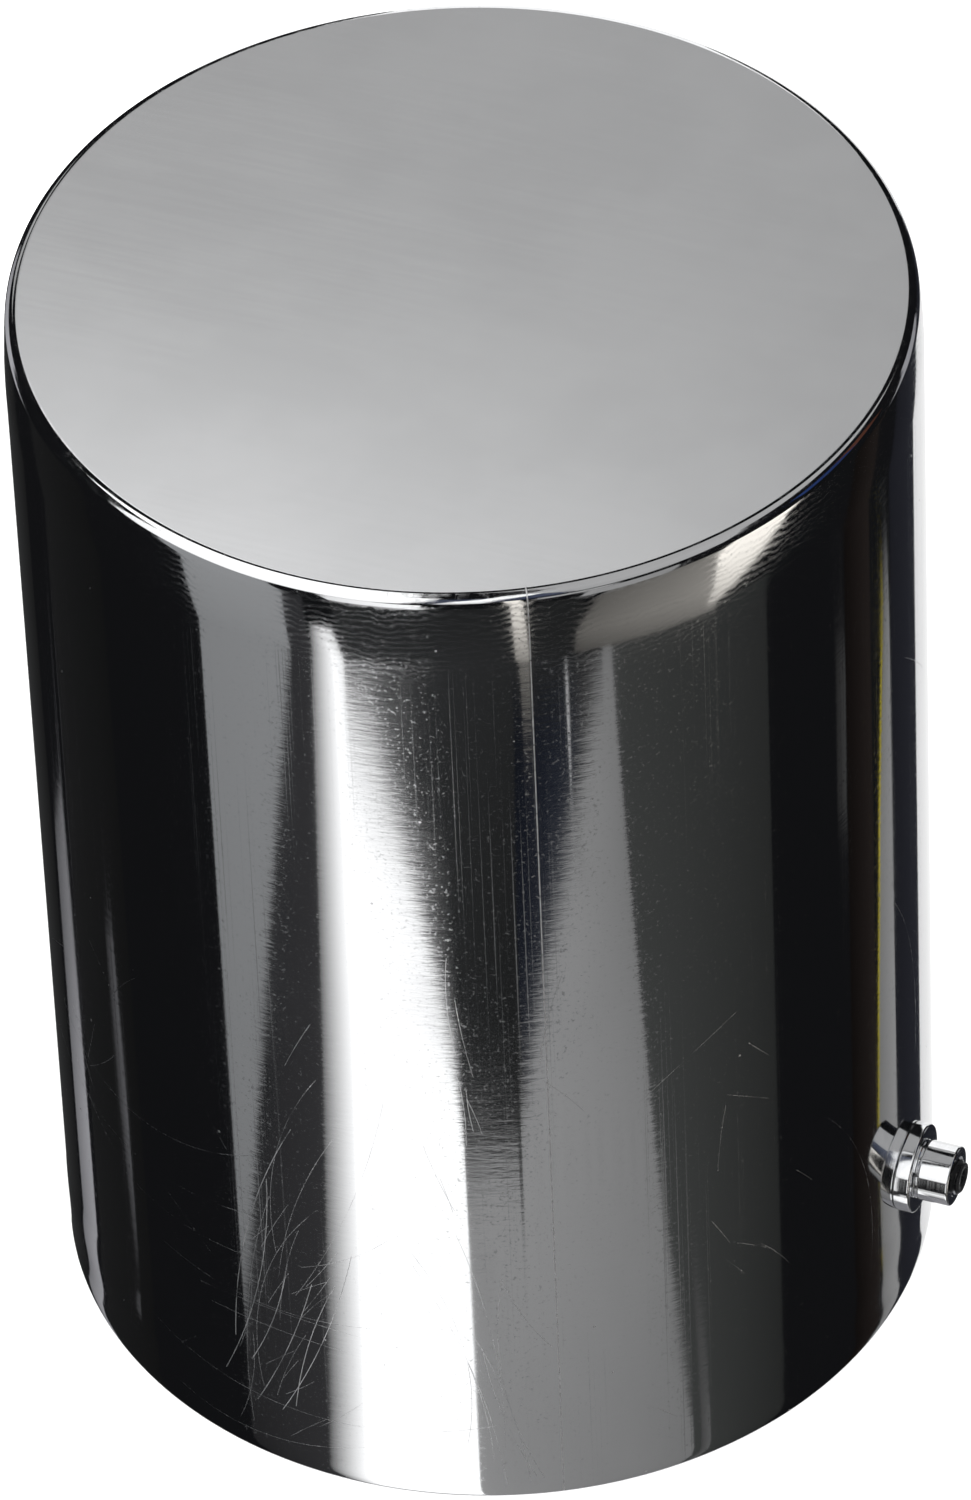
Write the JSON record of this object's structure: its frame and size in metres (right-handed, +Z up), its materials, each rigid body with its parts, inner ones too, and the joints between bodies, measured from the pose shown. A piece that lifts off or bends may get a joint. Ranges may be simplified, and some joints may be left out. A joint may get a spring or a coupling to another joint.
{
  "type": "oil filter cover",
  "caption": "Deep-drawn chrome slip-on cover, a can with one closed end, clamped on a spin-on oil filter by a set screw through its wall.",
  "frame": {"origin": "centre of the open mouth, in the plane of the mouth's rim", "axes": "+Z up the can's axis from the open mouth to the closed flat top, +X from that axis out along the set screw"},
  "size_m": [0.1065, 0.1, 0.1362],
  "materials": {
    "shell_chrome": "polished chrome plate with fine axial polishing lines and light scratches",
    "bush_chrome": "turned and chrome plated, slightly duller than the shell",
    "screw_black": "black oxide, lightly oiled",
    "tip_nylon": "natural nylon"
  },
  "bodies": {
    "cover": {"cover_shell": "shell_chrome", "threaded_bush": "bush_chrome"},
    "tip": {"screw_tip": "tip_nylon"},
    "screw": {"set_screw": "screw_black"}
  },
  "joints": [
    {"name": "screw_feed", "type": "slide", "parent": "cover", "child": "tip", "axis": [-1, 0, 0], "range_m": [-0.00397, 0.00476]},
    {"name": "screw_turn", "type": "hinge", "parent": "tip", "child": "screw", "pos_m": [0.05655, 0, 0.0186], "axis": [-1, 0, 0], "range_deg": [-1800, 2160]}
  ],
  "couplings": [
    {"joint": "screw_turn", "follows": "screw_feed", "rad_per_m": 7915.8}
  ]
}
